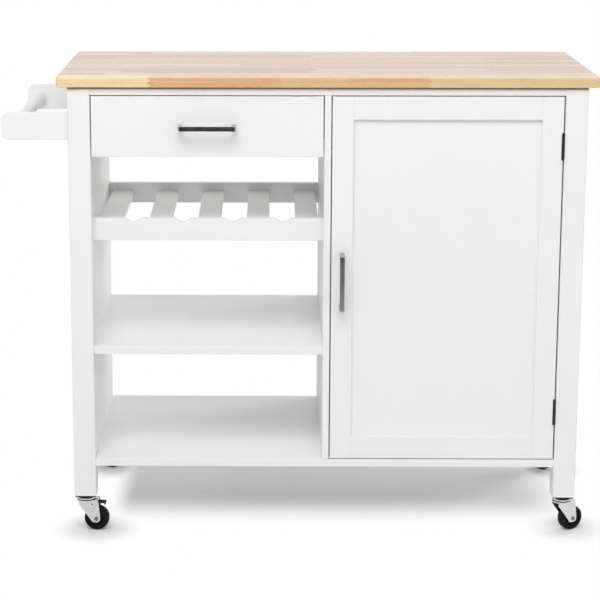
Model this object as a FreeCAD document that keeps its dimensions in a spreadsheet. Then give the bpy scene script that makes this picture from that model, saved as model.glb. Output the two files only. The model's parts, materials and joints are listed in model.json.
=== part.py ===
import FreeCAD, Part
import math
import os
import re
import Sketcher

# Kitchen island cart: a timber worktop on four square legs, with a drawer over a
# wine rack and two open shelves on the left, a cupboard on the right, a towel bar
# on the left end and four swivel casters.
# Frame: +X to the right, +Y to the back, +Z up, origin on the floor at the middle
# of the overall box. All sizes are in millimetres and angles in degrees.

doc = FreeCAD.newDocument("kitchen_island_cart")

sizes = {
    # worktop and frame
    "top_length": 1035, "top_depth": 445, "top_thickness": 19, "total_height": 915,
    "top_corner": 10, "top_edge": 1.6,
    "side_overhang": 20.5, "front_overhang": 8, "back_overhang": 8,
    "leg_side": 43, "leg_edge": 1.2, "caster_height": 76,
    "board": 16, "board_edge": 1, "board_setback": 1.5, "shelf_setback": 5,
    "apron_height": 16, "apron_thickness": 18, "apron_setback": 0.6,
    "rear_rail_height": 60, "back_panel_thickness": 6,
    "leg_drop": 62.5, "shelf_rise": 229, "rack_rise": 251,
    # divider and wine rack
    "divider_thickness": 13, "rack_rail_height": 43, "rack_setback": 27,
    "slat_width": 45, "slat_thickness": 10, "slat_pitch": 97, "slat_drop": 16,
    "neck_radius": 20, "neck_depth": 7,
    # cupboard shelf and its pins
    "cabinet_shelf_rise": 350, "shelf_play": 1, "cabinet_shelf_setback": 45,
    "pin_radius": 2.5, "pin_depth": 9, "pin_reach": 8, "pin_head": 3.5, "pin_inset": 60,
    # towel bar
    "arm_length": 127, "arm_height": 52, "arm_thickness": 16, "arm_drop": 50,
    "arm_corner": 14, "arm_edge": 1, "bar_radius": 13, "bar_inset": 26,
    # gaps round the drawer front and the door
    "reveal": 2, "hinge_gap": 2.6,
    # drawer
    "drawer_height": 117, "drawer_front_thickness": 18, "drawer_side_thickness": 12,
    "drawer_side_height": 90, "drawer_side_lift": 9, "drawer_rear_gap": 25,
    "drawer_floor_lift": 12, "drawer_floor_thickness": 5, "drawer_groove": 5,
    "runner_width": 12.7, "runner_height": 35, "runner_wall": 1.5, "runner_play": 0.5,
    "runner_depth": 9.5, "runner_lift": 24,
    # door
    "door_thickness": 19, "stile_width": 41, "door_rail_height": 44,
    "door_panel_thickness": 8, "door_panel_recess": 7, "door_groove": 8,
    # pulls
    "pull_length": 111, "pull_reach": 30, "pull_width": 9.5, "pull_thickness": 4.5,
    "pull_foot": 8, "pull_bend": 4, "pull_edge": 0.6, "pull_screw_radius": 2, "pull_screw_head": 4,
    "pull_screw_cap": 2.2, "pull_screw_bite": 9,
    # hinges
    "hinge_height": 50, "hinge_leaf": 1.2, "hinge_leaf_width": 20, "hinge_end": 71,
    "knuckle_radius": 2.5, "knuckle_play": 0.1, "hinge_pin_radius": 1.2,
    "hinge_pin_play": 0.05, "hinge_pin_cap": 0.8, "hinge_pin_cap_radius": 2.1,
    "hinge_relief": 0.5, "hinge_offset": 0.3,
    "hinge_screw_radius": 1.4, "hinge_screw_head": 2.8, "hinge_screw_length": 14,
    "hinge_screw_spread": 16, "hinge_screw_inset": 13,
    # magnetic catch
    "catch_width": 14, "catch_depth": 16, "catch_length": 46, "catch_drop": 60,
    "strike_thickness": 1.2, "strike_margin": 2, "catch_play": 0.3,
    # casters
    "plate_side": 42, "plate_thickness": 2.5, "plate_corner": 4,
    "race_radius": 19.2, "race_height": 9, "race_play": 0.3,
    "king_radius": 4, "king_play": 0.08, "king_head_radius": 6.5, "king_head_height": 1.8,
    "fork_top": 2.5, "fork_disc_radius": 19.2, "fork_wall": 2, "fork_nose": 14,
    "fork_tail": 4, "fork_shoulder": 9, "fork_end_radius": 7.5, "fork_play": 1,
    "trail": 21, "wheel_radius": 25, "wheel_width": 18, "wheel_recess": 1.6,
    "wheel_edge": 3, "wheel_tread": 7, "wheel_hub": 7.5, "axle_radius": 3,
    "axle_play": 0.06, "axle_head_radius": 4.8, "axle_head_height": 1.4,
    "caster_screw_spread": 33, "caster_screw_radius": 2, "caster_screw_length": 24,
    "caster_screw_head": 3.8, "caster_screw_cap": 2,
    "swing_front_left": -4, "swing_front_right": 27,
    "swing_rear_left": -22, "swing_rear_right": -35,
    # brake pedals
    "pedal_pivot_out": 13, "pedal_pivot_high": 55.5, "pedal_hub": 3.2, "pedal_play": 0.3,
    "pedal_pin": 1.5, "pedal_pin_play": 0.06, "pedal_reach": 26, "pedal_width": 16,
    "pedal_thickness": 2, "pedal_lip": 5, "shoe_start": 7, "shoe_length": 6, "shoe_gap": 2.7,
}

# Planes and centre lines worked out from the sizes above.
lines = {
    "centre": "(arm_length - side_overhang) / 2",
    "left_out": "centre - top_length / 2 + side_overhang",
    "left_in": "left_out + leg_side",
    "right_out": "centre + top_length / 2 - side_overhang",
    "right_in": "right_out - leg_side",
    "divider_left": "divider_right - divider_thickness",
    "divider_right": "centre + board / 2",
    "bay_centre": "(left_in + divider_left) / 2",
    "front": "(pull_reach + front_overhang - top_depth) / 2",
    "back": "front - front_overhang + top_depth - back_overhang",
    "under_top": "total_height - top_thickness",
    "under_apron": "under_top - apron_height",
    "bottom_under": "caster_height + leg_drop",
    "bottom_top": "bottom_under + board",
    "shelf_top": "bottom_top + shelf_rise",
    "rack_top": "shelf_top + rack_rise",
    "rack_low": "rack_top - rack_rail_height",
    "slat_top": "rack_top - slat_drop",
    "rack_front": "front + rack_setback",
    "rack_back": "back - board",
    "cabinet_shelf_low": "bottom_top + cabinet_shelf_rise",
    "arm_top": "under_top - arm_drop",
    "arm_low": "arm_top - arm_height",
    "arm_end": "left_out - arm_length",
    "front_top": "under_apron - reveal",
    "drawer_low": "front_top - drawer_height",
    "drawer_left": "left_in + reveal",
    "drawer_right": "divider_left - reveal",
    "box_left": "left_in + runner_width",
    "box_right": "divider_left - runner_width",
    "box_front": "front + drawer_front_thickness",
    "box_back": "back - board - drawer_rear_gap",
    "box_low": "drawer_low + drawer_side_lift",
    "box_floor": "box_low + drawer_floor_lift",
    "runner_low": "box_low + runner_lift",
    "door_left": "divider_right + reveal",
    "door_right": "right_in - hinge_gap",
    "door_low": "bottom_top + reveal",
    "door_back": "front + door_thickness",
    "hinge_x": "right_in - knuckle_radius - hinge_offset",
    "hinge_y": "front - hinge_offset",
    "plate_low": "caster_height - plate_thickness",
    "race_low": "plate_low - race_height",
    "fork_high": "race_low - race_play",
    "fork_under": "fork_high - fork_top",
    "fork_half": "wheel_width / 2 + fork_play",
    "fork_out": "fork_half + fork_wall",
}

sheet = doc.addObject("Spreadsheet::Sheet", "Sizes")
for row, (word, value) in enumerate(sizes.items(), start=1):
    sheet.set(f"A{row}", word)
    sheet.set(f"B{row}", str(value))
    sheet.setAlias(f"B{row}", word)
doc.recompute()


# Expressions ------------------------------------------------------------------

def bind(text):
    """Spell out the names in an expression as references to the sheet."""
    def spell(match):
        word = match.group(0)
        if word in lines:
            return "(" + bind(lines[word]) + ")"
        return "Sizes." + word if word in sizes else word
    return re.sub(r"[a-z][a-z_]*", spell, text)


def drive(item, **values):
    for prop, text in values.items():
        item.setExpression(prop, bind(text))


def place(item, x="0", y="0", z="0"):
    for axis, text in zip("xyz", (x, y, z)):
        item.setExpression("Placement.Base." + axis, bind(text))
    return item


# Solids from primitives -------------------------------------------------------

turns = {
    "x": FreeCAD.Rotation(FreeCAD.Vector(0, 1, 0), 90),
    "y": FreeCAD.Rotation(FreeCAD.Vector(1, 0, 0), -90),
    "z": FreeCAD.Rotation(),
}


def block(name, x, y, z):
    """A box between three pairs of planes."""
    item = doc.addObject("Part::Box", name)
    for prop, (low, high) in zip(("Length", "Width", "Height"), (x, y, z)):
        item.setExpression(prop, bind(f"({high}) - ({low})"))
    return place(item, x[0], y[0], z[0])


def rod(name, axis, radius, length, x="0", y="0", z="0"):
    """A cylinder that starts at x, y, z and runs along an axis."""
    item = doc.addObject("Part::Cylinder", name)
    drive(item, Radius=radius, Height=length)
    item.Placement = FreeCAD.Placement(FreeCAD.Vector(), turns[axis])
    return place(item, x, y, z)


def cone(name, axis, start, end, length, x, y, z):
    item = doc.addObject("Part::Cone", name)
    drive(item, Radius1=start, Radius2=end, Height=length)
    item.Placement = FreeCAD.Placement(FreeCAD.Vector(), turns[axis])
    return place(item, x, y, z)


def fuse(name, pieces):
    item = doc.addObject("Part::MultiFuse", name)
    item.Shapes = pieces
    return item


def gather(name, pieces):
    """Separate solids that share one node."""
    item = doc.addObject("Part::Compound", name)
    item.Links = pieces
    return item


def cut(name, base, *tools):
    item = doc.addObject("Part::Cut", name)
    item.Base = base
    item.Tool = tools[0] if len(tools) == 1 else gather(name + "_tools", list(tools))
    return item


# Solids from sketches ---------------------------------------------------------

def new_body(name):
    return doc.addObject("PartDesign::Body", name)


def sketch_on(body, role):
    """A sketch on one of the body's own origin planes."""
    item = body.newObject("Sketcher::SketchObject", f"{body.Name}_sketch")
    plane = next(entry for entry in body.Origin.OriginFeatures if entry.Role == role)
    item.AttachmentSupport = [(plane, "")]
    item.MapMode = "FlatFace"
    return item


def hold(sketch, geometry, point, x, y):
    """Fix one sketch point by two dimensions bound to the sheet."""
    for kind, text in (("DistanceX", x), ("DistanceY", y)):
        index = sketch.addConstraint(Sketcher.Constraint(kind, -1, 1, geometry, point, 1.0))
        label = f"{kind}_{geometry}"
        sketch.renameConstraint(index, label)
        sketch.setExpression(f"Constraints.{label}", bind(text))


def polygon(sketch, corners):
    """A closed outline with straight sides."""
    count = len(corners)
    ring = [
        FreeCAD.Vector(math.cos(2 * math.pi * step / count), math.sin(2 * math.pi * step / count), 0)
        for step in range(count)
    ]
    for step in range(count):
        sketch.addGeometry(Part.LineSegment(ring[step], ring[(step + 1) % count]), False)
    for step in range(count):
        sketch.addConstraint(Sketcher.Constraint("Coincident", step, 2, (step + 1) % count, 1))
    for step, (x, y) in enumerate(corners):
        hold(sketch, step, 1, x, y)


def rectangle(sketch, x, y):
    polygon(sketch, [(x[0], y[0]), (x[1], y[0]), (x[1], y[1]), (x[0], y[1])])


def circle(sketch, x, y, radius):
    index = sketch.addGeometry(Part.Circle(FreeCAD.Vector(), FreeCAD.Vector(0, 0, 1), 1), False)
    hold(sketch, index, 3, x, y)
    rule = sketch.addConstraint(Sketcher.Constraint("Radius", index, 1.0))
    sketch.renameConstraint(rule, f"radius_{index}")
    sketch.setExpression(f"Constraints.radius_{index}", bind(radius))


def pad(body, sketch, length, both=False, reverse=False):
    item = body.newObject("PartDesign::Pad", f"{body.Name}_pad")
    item.Profile = sketch
    drive(item, Length=length)
    item.Reversed = reverse
    if both:
        item.SideType = "Symmetric"
    doc.recompute()
    return item


def pocket(body, sketch):
    """Cut a sketch right through the body."""
    before = body.Shape.Volume
    item = body.newObject("PartDesign::Pocket", f"{body.Name}_pocket")
    item.Profile = sketch
    item.Type = "ThroughAll"
    item.SideType = "Symmetric"
    doc.recompute()
    if body.Shape.Volume > before - 1e-3:
        raise RuntimeError(f"{item.Name} cuts nothing")
    return item


def soften(body, kind, radius, chosen):
    """Round or chamfer the edges of the body that pass a test."""
    doc.recompute()
    names = [f"Edge{index}" for index, edge in enumerate(body.Shape.Edges, 1) if chosen(edge)]
    base = body.Tip
    item = body.newObject("PartDesign::" + kind, f"{body.Name}_{kind.lower()}")
    item.Base = (base, names)
    drive(item, **{"Size" if kind == "Chamfer" else "Radius": radius})
    doc.recompute()
    if "Invalid" in item.State:
        raise RuntimeError(f"{item.Name} failed on {names}")
    return item


def along(axis):
    """A test for straight edges parallel to an axis."""
    def chosen(edge):
        if not isinstance(edge.Curve, Part.Line):
            return False
        return abs(edge.Curve.Direction.dot(axis)) > 0.999
    return chosen


axis_x = FreeCAD.Vector(1, 0, 0)
axis_y = FreeCAD.Vector(0, 1, 0)
axis_z = FreeCAD.Vector(0, 0, 1)


def front_rim(edge):
    """A test for the edges round a board's own front face."""
    return edge.BoundBox.YMax < 0.01


def board(name, x, y, z, chosen=front_rim):
    """A block whose chosen edges are eased. The test sees it with its low corner at 0, 0, 0."""
    body = new_body(name)
    blank = body.newObject("PartDesign::AdditiveBox", f"{name}_blank")
    for prop, (low, high) in zip(("Length", "Width", "Height"), (x, y, z)):
        blank.setExpression(prop, bind(f"({high}) - ({low})"))
    soften(body, "Fillet", "board_edge", chosen)
    return place(body, x[0], y[0], z[0])


def front_long(edge):
    """A test for a board's front edges along X."""
    return front_rim(edge) and along(axis_x)(edge)


nodes = []


def node(item, name):
    """Name a finished sub-part after its file."""
    item.Label = name
    nodes.append(item)
    return item


# Casters ----------------------------------------------------------------------

corners = {
    "front_left": ("left_out + leg_side / 2", "front + leg_side / 2"),
    "front_right": ("right_out - leg_side / 2", "front + leg_side / 2"),
    "rear_left": ("left_out + leg_side / 2", "back - leg_side / 2"),
    "rear_right": ("right_out - leg_side / 2", "back - leg_side / 2"),
}


def caster_screw(corner, side, row):
    """A pan head screw up through the plate into the end grain of the leg."""
    x, y = corners[corner]
    x = f"{x} + {side} * caster_screw_spread / 2"
    y = f"{y} + {row} * caster_screw_spread / 2"
    tag = f"{corner}_{side + 1}{row + 1}"
    shank = rod(f"caster_shank_{tag}", "z", "caster_screw_radius",
                "plate_thickness + caster_screw_length", x, y, "plate_low")
    cap = rod(f"caster_cap_{tag}", "z", "caster_screw_head", "caster_screw_cap",
              x, y, "plate_low - caster_screw_cap")
    return fuse(f"caster_screw_{tag}", [cap, shank])


def caster_plate(corner, screws):
    """Top plate, upper race and the king pin that carries the fork."""
    x, y = corners[corner]
    body = new_body(f"plate_{corner}")
    base = sketch_on(body, "XY_Plane")
    rectangle(base, ("-plate_side / 2", "plate_side / 2"), ("-plate_side / 2", "plate_side / 2"))
    pad(body, base, "plate_thickness")
    soften(body, "Fillet", "plate_corner", along(axis_z))
    place(body, x, y, "plate_low")
    race = rod(f"race_{corner}", "z", "race_radius", "race_height", x, y, "race_low")
    king = rod(f"king_{corner}", "z", "king_radius",
               "race_low - fork_under + race_play", x, y, "fork_under - race_play")
    head = rod(f"king_head_{corner}", "z", "king_head_radius", "king_head_height",
               x, y, "fork_under - race_play - king_head_height")
    whole = fuse(f"plate_whole_{corner}", [body, race, king, head])
    return cut(f"plate_drilled_{corner}", whole, screws)


def caster_fork(corner, braked):
    """A pressed fork: round top, two cheeks that taper down to the axle."""
    body = new_body(f"fork_{corner}")
    side = sketch_on(body, "XZ_Plane")
    polygon(side, [
        ("-fork_nose", "fork_high"),
        ("trail + fork_tail", "fork_high"),
        ("trail + fork_end_radius", "wheel_radius + fork_end_radius"),
        ("trail + fork_end_radius", "wheel_radius - fork_end_radius"),
        ("trail - fork_end_radius", "wheel_radius - fork_end_radius"),
        ("-fork_nose", "fork_high - fork_shoulder"),
    ])
    pad(body, side, "2 * fork_out", both=True)

    def low_corner(edge):
        return along(axis_y)(edge) and edge.CenterOfMass.z < sheet.get("wheel_radius")
    soften(body, "Fillet", "fork_end_radius * 0.92", low_corner)
    hollow = sketch_on(body, "YZ_Plane")
    rectangle(hollow, ("-fork_half", "fork_half"), ("0", "fork_under"))
    pocket(body, hollow)
    disc = rod(f"fork_disc_{corner}", "z", "fork_disc_radius", "fork_top", z="fork_under")
    king = rod(f"fork_bore_{corner}", "z", "king_radius + king_play", "2 * fork_top",
               z="fork_under - fork_top / 2")
    axle = rod(f"fork_eye_{corner}", "y", "axle_radius", "3 * fork_out",
               "trail", "-1.5 * fork_out", "wheel_radius")
    tools = [king, axle]
    if braked:
        tools.append(rod(f"fork_pivot_{corner}", "y", "pedal_pin + pedal_pin_play",
                         "3 * fork_out", "pedal_pivot_out", "-1.5 * fork_out",
                         "pedal_pivot_high"))
    return cut(f"fork_drilled_{corner}", fuse(f"fork_whole_{corner}", [body, disc]), *tools)


def caster_axle(corner):
    """Rivet with a head outside each cheek."""
    shank = rod(f"axle_shank_{corner}", "y", "axle_radius", "2 * fork_out",
                "trail", "-fork_out", "wheel_radius")
    near = rod(f"axle_near_{corner}", "y", "axle_head_radius", "axle_head_height",
               "trail", "-fork_out - axle_head_height", "wheel_radius")
    far = rod(f"axle_far_{corner}", "y", "axle_head_radius", "axle_head_height",
              "trail", "fork_out", "wheel_radius")
    return fuse(f"axle_{corner}", [shank, near, far])


def caster_wheel(corner):
    """Solid wheel turned from its half section: hub, web, rim and rounded tread."""
    body = new_body(f"wheel_{corner}")
    section = sketch_on(body, "XY_Plane")
    half = [
        ("axle_radius + axle_play", "wheel_width / 2"),
        ("wheel_hub", "wheel_width / 2"),
        ("wheel_hub", "wheel_width / 2 - wheel_recess"),
        ("wheel_radius - wheel_tread", "wheel_width / 2 - wheel_recess"),
        ("wheel_radius - wheel_tread", "wheel_width / 2"),
        ("wheel_radius", "wheel_width / 2"),
    ]
    polygon(section, half + [(x, f"-({y})") for x, y in reversed(half)])
    turned = body.newObject("PartDesign::Revolution", f"{body.Name}_turned")
    turned.Profile = section
    turned.ReferenceAxis = (section, ["V_Axis"])
    turned.Angle = 360
    doc.recompute()

    def tread_edge(edge):
        return isinstance(edge.Curve, Part.Circle) and edge.Curve.Radius > sheet.get("wheel_radius") - 1
    soften(body, "Fillet", "wheel_edge", tread_edge)
    holder = gather(f"wheel_seat_{corner}", [body])
    place(body, "trail", "0", "wheel_radius")
    return holder


def brake_pedal(corner):
    """Pedal on two stub pins in the cheeks, with a shoe above the tread."""
    hub = rod(f"pedal_hub_{corner}", "y", "pedal_hub", "2 * (fork_half - pedal_play)",
              "pedal_pivot_out", "pedal_play - fork_half", "pedal_pivot_high")
    pins = rod(f"pedal_pins_{corner}", "y", "pedal_pin", "2 * fork_out",
               "pedal_pivot_out", "-fork_out", "pedal_pivot_high")
    top = "pedal_pivot_high + pedal_hub"
    width = ("-pedal_width / 2", "pedal_width / 2")
    plate = block(f"pedal_plate_{corner}", ("pedal_pivot_out", "pedal_pivot_out + pedal_reach"),
                  width, (f"{top} - pedal_thickness", top))
    lip = block(f"pedal_lip_{corner}",
                ("pedal_pivot_out + pedal_reach - pedal_thickness", "pedal_pivot_out + pedal_reach"),
                width, (f"{top} - pedal_lip", top))
    shoe = block(f"pedal_shoe_{corner}",
                 ("pedal_pivot_out + shoe_start", "pedal_pivot_out + shoe_start + shoe_length"),
                 width, ("2 * wheel_radius + shoe_gap", f"{top} - pedal_thickness / 2"))
    return fuse(f"pedal_{corner}", [hub, pins, plate, lip, shoe])


def swing(item, corner):
    """Turn a caster piece about its king pin and stand it under its leg."""
    turn = FreeCAD.Rotation(axis_z, sheet.get("swing_" + corner))
    item.Placement = FreeCAD.Placement(FreeCAD.Vector(), turn)
    return place(item, *corners[corner])


def casters():
    braked = ("front_left", "rear_left")
    plates = []
    screws = []
    for corner in corners:
        four = [caster_screw(corner, side, row) for side in (-1, 1) for row in (-1, 1)]
        group = gather(f"screws_{corner}", four)
        screws += four
        plates.append(caster_plate(corner, group))
        node(swing(caster_fork(corner, corner in braked), corner), f"caster_fork_{corner}")
        node(swing(caster_axle(corner), corner), f"caster_axle_{corner}")
        node(swing(caster_wheel(corner), corner), f"caster_wheel_{corner}")
    for corner in braked:
        node(swing(brake_pedal(corner), corner), f"brake_pedal_{corner}")
    node(gather("plates", plates), "caster_plates")
    return node(gather("screws", screws), "caster_screws")


# Hinges -----------------------------------------------------------------------

knuckles = 5


def hinge_part(tag, low, leaf_x, own, name):
    """One leaf with its own knuckles, relieved where the other leaf's knuckles turn."""
    leaf = block(f"{name}_leaf_{tag}", leaf_x, ("hinge_y", "hinge_y + hinge_leaf_width"),
                 (low, f"{low} + hinge_height"))
    rolls = []
    reliefs = []
    for step in range(knuckles):
        start = f"{low} + hinge_height * {step} / {knuckles}"
        length = f"hinge_height / {knuckles}"
        if step in own:
            rolls.append(rod(f"{name}_roll_{tag}_{step}", "z", "knuckle_radius",
                             f"{length} - 2 * knuckle_play", "hinge_x", "hinge_y",
                             f"{start} + knuckle_play"))
        else:
            reliefs.append(rod(f"{name}_relief_{tag}_{step}", "z",
                               "knuckle_radius + hinge_relief", length,
                               "hinge_x", "hinge_y", start))
    bore = rod(f"{name}_bore_{tag}", "z", "hinge_pin_radius + hinge_pin_play",
               "hinge_height", "hinge_x", "hinge_y", low)
    relieved = cut(f"{name}_relieved_{tag}", leaf, *reliefs)
    rolled = fuse(f"{name}_rolled_{tag}", [relieved] + rolls)
    return cut(f"{name}_{tag}", rolled, bore)


def hinge_pin(tag, low):
    """Pin with a flat cap at each end of the knuckles."""
    shank = rod(f"hinge_shank_{tag}", "z", "hinge_pin_radius", "hinge_height",
                "hinge_x", "hinge_y", low)
    caps = [
        rod(f"hinge_cap_{tag}_{end}", "z", "hinge_pin_cap_radius", "hinge_pin_cap",
            "hinge_x", "hinge_y", start)
        for end, start in (("low", f"{low} - hinge_pin_cap"), ("high", f"{low} + hinge_height"))
    ]
    return fuse(f"hinge_pin_{tag}", [shank] + caps)


def hinge_screw(tag, low, face, way, step):
    """Countersunk screw, head flush with the leaf, point in the wood along X."""
    name = f"{tag}_{step}"
    y = "hinge_y + hinge_screw_inset"
    z = f"{low} + hinge_height / 2 + {2 * step - 1} * hinge_screw_spread"
    if way > 0:
        head = cone(f"screw_head_{name}", "x", "hinge_screw_head", "hinge_screw_radius",
                    "hinge_leaf", face, y, z)
        shank = rod(f"screw_shank_{name}", "x", "hinge_screw_radius", "hinge_screw_length",
                    f"{face} + hinge_leaf", y, z)
    else:
        head = cone(f"screw_head_{name}", "x", "hinge_screw_radius", "hinge_screw_head",
                    "hinge_leaf", f"{face} - hinge_leaf", y, z)
        shank = rod(f"screw_shank_{name}", "x", "hinge_screw_radius", "hinge_screw_length",
                    f"{face} - hinge_leaf - hinge_screw_length", y, z)
    return fuse(f"hinge_screw_{name}", [head, shank])


def hinges():
    """Two butt hinges. Returns the screw groups and the space round each knuckle."""
    lows = {"low": "door_low + hinge_end", "high": "front_top - hinge_end - hinge_height"}
    frame_leaves, door_leaves, pins, notches = [], [], [], []
    frame_screws, door_screws = [], []
    for tag, low in lows.items():
        frame_leaves.append(hinge_part(tag, low, ("right_in - hinge_leaf", "right_in"),
                                       (0, 2, 4), "frame_leaf"))
        door_leaves.append(hinge_part(tag, low, ("door_right", "door_right + hinge_leaf"),
                                      (1, 3), "door_leaf"))
        pins.append(hinge_pin(tag, low))
        for step in (0, 1):
            frame_screws.append(hinge_screw(f"frame_{tag}", low, "right_in - hinge_leaf", 1, step))
            door_screws.append(hinge_screw(f"door_{tag}", low, "door_right + hinge_leaf", -1, step))
        notches.append(rod(f"hinge_notch_{tag}", "z", "knuckle_radius + hinge_relief",
                           "hinge_height + 4 * hinge_pin_cap", "hinge_x", "hinge_y",
                           f"{low} - 2 * hinge_pin_cap"))
    frame_group = gather("frame_hinge_screw_group", frame_screws)
    door_group = gather("door_hinge_screw_group", door_screws)
    node(gather("hinge_pin_pair", pins), "hinge_pins")
    node(frame_group, "frame_hinge_screws")
    node(door_group, "door_hinge_screws")
    node(cut("frame_leaf_pair", gather("frame_leaves", frame_leaves), frame_group),
         "frame_hinge_leaves")
    node(cut("door_leaf_pair", gather("door_leaves", door_leaves), door_group),
         "door_hinge_leaves")
    return frame_group, door_group, notches


# Frame ------------------------------------------------------------------------

def worktop():
    body = new_body("top")
    plan = sketch_on(body, "XY_Plane")
    rectangle(plan, ("centre - top_length / 2", "centre + top_length / 2"),
              ("front - front_overhang", "front - front_overhang + top_depth"))
    pad(body, plan, "top_thickness")
    soften(body, "Fillet", "top_corner", along(axis_z))

    def rim(edge):
        return abs(edge.CenterOfMass.z - sheet.get("top_thickness") / 2) > 1
    soften(body, "Fillet", "top_edge", rim)
    node(place(body, z="under_top"), "worktop")


def legs(caster_screws, hinge_screws):
    """Square posts with eased edges, drilled for the screws that enter them."""
    for corner, (x, y) in corners.items():
        body = new_body(f"post_{corner}")
        square = sketch_on(body, "XY_Plane")
        rectangle(square, ("-leg_side / 2", "leg_side / 2"), ("-leg_side / 2", "leg_side / 2"))
        pad(body, square, "under_top - caster_height")
        soften(body, "Chamfer", "leg_edge", along(axis_z))
        place(body, x, y, "caster_height")
        tools = [caster_screws]
        if corner == "front_right":
            tools.append(hinge_screws)
        node(cut(f"leg_{corner}_drilled", body, *tools), f"leg_{corner}")


def shelf_pins():
    """Four pins, two in the divider and two in the right side panel."""
    pins = []
    rows = ("front + leg_side + pin_inset", "back - leg_side - pin_inset")
    for row, y in enumerate(rows):
        for side, face, way in (("inner", "divider_right", -1), ("outer", "right_in", 1)):
            tag = f"{side}_{row}"
            z = "cabinet_shelf_low - pin_head"
            start = f"{face} - pin_depth" if way < 0 else face
            shank = rod(f"pin_shank_{tag}", "x", "pin_radius", "pin_depth", start, y, z)
            start = face if way < 0 else f"{face} - pin_reach"
            head = rod(f"pin_head_{tag}", "x", "pin_head", "pin_reach", start, y, z)
            pins.append(fuse(f"shelf_pin_{tag}", [shank, head]))
    return node(gather("shelf_pin_group", pins), "shelf_pins")


def carcass(pins):
    """Boards between the legs. Their faces meet the legs' faces."""
    across = ("left_in", "right_in")
    between = ("front + leg_side", "back - leg_side")
    upright = ("bottom_under", "under_top")

    def front_low(edge):
        return front_long(edge) and edge.CenterOfMass.z < 0.01
    node(block("left_side", ("left_in - board", "left_in"), between, upright), "left_side_panel")
    right = block("right_side_blank", ("right_in", "right_in + board"), between, upright)
    node(cut("right_side", right, pins), "right_side_panel")
    node(board("apron", across, ("front + apron_setback", "front + apron_setback + apron_thickness"),
               ("under_apron", "under_top"), front_low), "front_apron")
    node(block("rear_rail", across, ("back - board", "back"),
               ("under_top - rear_rail_height", "under_top")), "rear_top_rail")
    node(board("bottom", across, ("front + board_setback", "back"),
               ("bottom_under", "bottom_top"), front_long), "bottom_board")
    node(board("shelf", ("left_in", "divider_left"), ("front + shelf_setback", "back"),
               ("shelf_top - board", "shelf_top"), front_long), "middle_shelf")
    node(board("cabinet_board", ("divider_right + shelf_play", "right_in - shelf_play"),
               ("front + cabinet_shelf_setback", "back - back_panel_thickness - shelf_play"),
               ("cabinet_shelf_low", "cabinet_shelf_low + board"), front_long), "cabinet_shelf")
    node(block("back_sheet", ("divider_right", "right_in"), ("back - back_panel_thickness", "back"),
               ("bottom_top", "under_top - rear_rail_height")), "back_panel")


def divider(pins):
    """Upright between the bays, notched round the apron and the rear top rail."""
    body = new_body("divider")
    side = sketch_on(body, "YZ_Plane")
    notch_front = "front + apron_setback + apron_thickness"
    notch_back = "back - board"
    notch_low = "under_top - rear_rail_height"
    polygon(side, [
        ("front", "bottom_top"), ("back", "bottom_top"), ("back", notch_low),
        (notch_back, notch_low), (notch_back, "under_top"), (notch_front, "under_top"),
        (notch_front, "under_apron"), ("front", "under_apron"),
    ])
    pad(body, side, "divider_thickness", both=True)

    def front_upright(edge):
        return along(axis_z)(edge) and edge.Length > sheet.get("shelf_rise") and edge.CenterOfMass.y < 0
    soften(body, "Fillet", "board_edge", front_upright)
    place(body, "(divider_left + divider_right) / 2")
    node(cut("divider_drilled", body, pins), "divider_panel")


# Wine rack --------------------------------------------------------------------

necks = (-1.5, -0.5, 0.5, 1.5)
slats = (-2, -1, 0, 1, 2)


def wine_rack():
    body = new_body("neck_rail")
    face = sketch_on(body, "XZ_Plane")
    rectangle(face, ("left_in", "divider_left"), ("rack_low", "rack_top"))
    pad(body, face, "board", reverse=True)
    scallops = sketch_on(body, "XZ_Plane")
    for step in necks:
        circle(scallops, f"bay_centre + {step} * slat_pitch",
               "rack_top - neck_depth + neck_radius", "neck_radius")
    pocket(body, scallops)

    def long_rim(edge):
        return edge.BoundBox.YLength < 0.01 and edge.BoundBox.XLength > 1
    soften(body, "Fillet", "board_edge", long_rim)
    node(place(body, y="rack_front"), "rack_front_rail")
    node(board("rear_neck_rail", ("left_in", "divider_left"), ("rack_back", "back"),
               ("rack_low", "rack_top"), along(axis_x)), "rack_rear_rail")

    def slat_rim(edge):
        return along(axis_y)(edge) and edge.CenterOfMass.z > 0.01
    bars = [
        board(f"slat_{index}",
              (f"bay_centre + {step} * slat_pitch - slat_width / 2",
               f"bay_centre + {step} * slat_pitch + slat_width / 2"),
              ("rack_front + board", "rack_back"), ("slat_top - slat_thickness", "slat_top"), slat_rim)
        for index, step in enumerate(slats)
    ]
    node(gather("slat_group", bars), "rack_slats")


# Towel bar --------------------------------------------------------------------

def towel_bar():
    """Two flat arms with rounded outer corners and a round bar between them."""
    for name, y in (("front", "front"), ("rear", "back - arm_thickness")):
        body = new_body(f"arm_{name}")
        side = sketch_on(body, "XZ_Plane")
        rectangle(side, ("0", "arm_length"), ("0", "arm_height"))
        pad(body, side, "arm_thickness", reverse=True)

        def outer(edge):
            return along(axis_y)(edge) and edge.CenterOfMass.x < 1
        soften(body, "Fillet", "arm_corner", outer)

        def rim(edge):
            return not along(axis_y)(edge) and edge.BoundBox.XMin < sheet.get("arm_length") - 1
        soften(body, "Fillet", "arm_edge", rim)
        node(place(body, "arm_end", y, "arm_low"), f"towel_arm_{name}")
    node(rod("bar", "y", "bar_radius", "back - front - 2 * arm_thickness",
             "arm_end + bar_inset", "front + arm_thickness", "arm_low + arm_height / 2"),
         "towel_bar")


# Pulls ------------------------------------------------------------------------

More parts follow.
